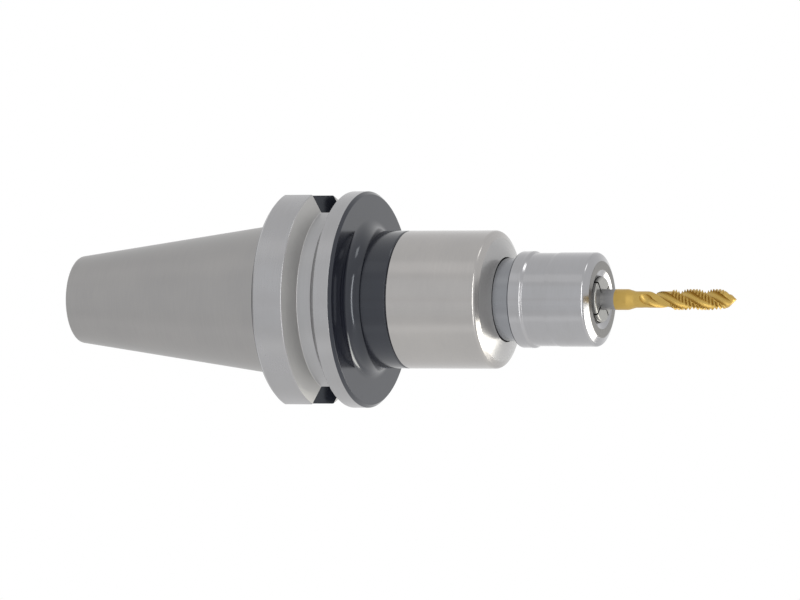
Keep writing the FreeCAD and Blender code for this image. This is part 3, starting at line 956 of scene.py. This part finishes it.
def flute_tool(name, turned_by):
    """Round channel that winds right-handed round the axis, with a round run-out at its rear."""
    start_new()
    bpy.ops.mesh.primitive_circle_add(vertices=40, radius=flute_radius * mm, fill_type="NOTHING")
    piece = bpy.context.active_object
    piece.name = name
    edit_all()
    bpy.ops.transform.rotate(value=math.pi / 2, orient_axis="Y", center_override=(0, 0, 0))
    bpy.ops.transform.translate(value=(flute_start * mm, 0, flute_centre * mm))
    bpy.ops.transform.rotate(value=turned_by, orient_axis="X", center_override=(0, 0, 0))
    bpy.ops.object.mode_set(mode="OBJECT")
    length = tap_tip + 1 - flute_start
    modify(
        piece, "SCREW", axis="X", angle=math.tau * length / flute_lead, screw_offset=length * mm,
        steps=flute_steps, render_steps=flute_steps,
    )
    bpy.ops.object.mode_set(mode="EDIT")
    for station in (flute_start, tap_tip + 1):
        choose(piece, "VERT", lambda middle: abs(middle.x - station) < same_place)
        bpy.ops.mesh.edge_face_add()
    return close_up(piece)


# %% Flute run-out
def flute_end(name, turned_by):
    """Long ball, laid along the flute, that lets its rear end run out."""
    start_new()
    bpy.ops.mesh.primitive_uv_sphere_add(segments=40, ring_count=20, radius=flute_radius * mm)
    piece = bpy.context.active_object
    piece.name = name
    edit_all()
    bpy.ops.transform.resize(value=(run_out, 1, 1))
    helix_angle = math.atan(math.tau * flute_centre / flute_lead)
    bpy.ops.transform.rotate(value=helix_angle, orient_axis="Z", center_override=(0, 0, 0))
    bpy.ops.transform.translate(value=(flute_start * mm, 0, flute_centre * mm))
    bpy.ops.transform.rotate(value=turned_by, orient_axis="X", center_override=(0, 0, 0))
    bpy.ops.object.mode_set(mode="OBJECT")
    return piece


# %% Fluting the tap
flute_count = 3
for index in range(flute_count):
    turned_by = math.tau * index / flute_count + flute_phase
    combine(tap, flute_tool("flute_tool", turned_by), "DIFFERENCE")
    combine(tap, flute_end("flute_end", turned_by), "DIFFERENCE")
coat(tap, coated_tap)
seat(tap, "tap", "coated_tap", "tap")

# %% [markdown]
# The other parts are plain rings, bushes and balls, most of them hidden, and the slit collet. The frame
# holds their true shape, so they could be copied but needn't be: they only change their material.

# %% Finishes of the parts that keep their shape
finish_of = {
    "spindle": spindle_steel,
    "tap_collet": collet_steel,
    "extraction_ring": collet_steel,
    "length_stop_screw": collet_steel,
    "coolant_tube": collet_steel,
    "rear_thrust_washer": collet_steel,
    "front_thrust_washer": collet_steel,
    "rear_guide_bush": bronze,
    "front_guide_bush": bronze,
    "ball_cage": bronze,
    "drive_balls": ball_steel,
    "front_wiper_seal": black_rubber,
    "sleeve_o_ring": black_rubber,
    "tube_static_o_ring": black_rubber,
    "tube_sliding_o_ring": black_rubber,
    "compression_damper": damper_rubber,
    "tension_damper": damper_rubber,
}
for node, material in finish_of.items():
    for slot in frame["nodes"][node].material_slots:
        slot.material = material
print("dressed", len(finish_of), "parts")

# %% [markdown]
# Steel shows its surroundings more than itself. A studio picture's white surroundings could be built from
# cards, but one plain white world does the same. It has its full strength where the camera and the
# reflections see it, and it is weaker where it only lights, so that matt parts don't come out too pale.

# %% World
scattered_level = 0.65


def white_world():
    finish = Finish(bpy.context.scene.world or bpy.data.worlds.new("studio"))
    bpy.context.scene.world = finish.owner
    ray = finish.node("LightPath")
    seen = finish.value(ray, "Is Camera Ray") + finish.value(ray, "Is Glossy Ray")
    seen = seen + finish.value(ray, "Is Transmission Ray")
    strength = finish.fade(seen, 0.0, 1.0) * (1 - scattered_level) + scattered_level
    light = finish.node("Background", None, {"Color": (1, 1, 1, 1), "Strength": strength})
    finish.close("World", light)


white_world()
bpy.context.scene.view_settings.view_transform = "Standard"
print("world nodes", len(bpy.context.scene.world.node_tree.nodes))


# %% [markdown]
# The lamps stand for a studio's soft boxes. Four large weak ones in front, above and below, put broad
# bands of light on each cylinder. A tall narrow one at the tap's side draws the lines on the shoulders,
# one behind the tap and a little below it puts the white spots on the cones, and two at the tap's end
# light the faces that look that way. They are area lamps, since a small lamp would leave hard dots.

# %% Lamps
def soft_lamp(name, bearing, elevation, distance, width, height, brightness, colour):
    """Flat lamp that faces the holder; a mirror shows it that much brighter than the world's 1."""
    start_new()
    direction = outward(bearing, elevation)
    bpy.ops.object.light_add(type="AREA", location=aim + direction * distance)
    lamp = bpy.context.active_object
    lamp.name = name
    lamp.rotation_euler = direction.to_track_quat("Z", "Y").to_euler()
    lamp.data.shape = "RECTANGLE"
    lamp.data.size = width
    lamp.data.size_y = height
    lamp.data.energy = brightness * math.pi * width * height
    lamp.data.color = colour
    lamp.visible_camera = False


above = (1.0, 0.99, 0.97)
front = (0.80, 0.90, 1.0)
behind = (1.0, 0.97, 0.88)
soft_lamp("lamp_above", -30, 50, 1.0, 0.9, 0.30, 0.14, above)
soft_lamp("lamp_below", -30, -48, 0.8, 0.7, 0.24, 0.14, above)
soft_lamp("lamp_front_high", -22, 17, 1.0, 0.8, 0.50, 0.07, front)
soft_lamp("lamp_front_low", -22, -14, 1.0, 0.8, 0.40, 0.07, front)
soft_lamp("lamp_side", 38, 0, 0.9, 0.14, 1.3, 6.0, above)
soft_lamp("lamp_spot", 126, -14, 1.0, 0.60, 0.34, 6.0, behind)
soft_lamp("lamp_end_high", 90, 58, 1.0, 0.30, 0.20, 2.5, above)
soft_lamp("lamp_end_low", 90, -56, 0.9, 0.30, 0.20, 1.5, above)

# %% [markdown]
# A plain pale floor lies well below the holder, out of the main view, and catches its soft shadow for the
# views from above. It gives off a little light of its own, so that it stays nearly as white as the world.

# %% Floor
floor_height = -0.62
floor_radius = 2.5


def floor_finish():
    finish = Finish(bpy.data.materials.new("pale_floor"))
    tone = finish.mix(clouds(finish, 3.0), (0.80, 0.80, 0.80, 1), (0.84, 0.84, 0.84, 1))
    skin = finish.node(
        "BsdfPrincipled", None,
        {"Base Color": tone, "Roughness": 0.9, "Emission Color": (1, 1, 1, 1), "Emission Strength": 0.4},
    )
    return finish.close("Material", skin)


start_new()
bpy.ops.mesh.primitive_circle_add(vertices=128, radius=floor_radius, fill_type="NGON")
floor = bpy.context.active_object
floor.name = "floor"
bpy.ops.object.mode_set(mode="EDIT")
bpy.ops.mesh.select_all(action="SELECT")
bpy.ops.transform.translate(value=(0, 0, floor_height))
bpy.ops.object.mode_set(mode="OBJECT")
coat(floor, floor_finish())
floor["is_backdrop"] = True
print("floor", round(floor_radius * 2, 1), "m wide,", -floor_height, "m below the axis")

# %% [markdown]
# The last cell prints how much the dressed holder's box has grown over the frame's, so that the two can be
# compared.

# %% Sizes
start_new()
visual_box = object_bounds()
growth = (visual_box[1] - visual_box[0]) - (cad_box[1] - cad_box[0])
print("grown by", [round(value / mm, 4) for value in growth], "mm")
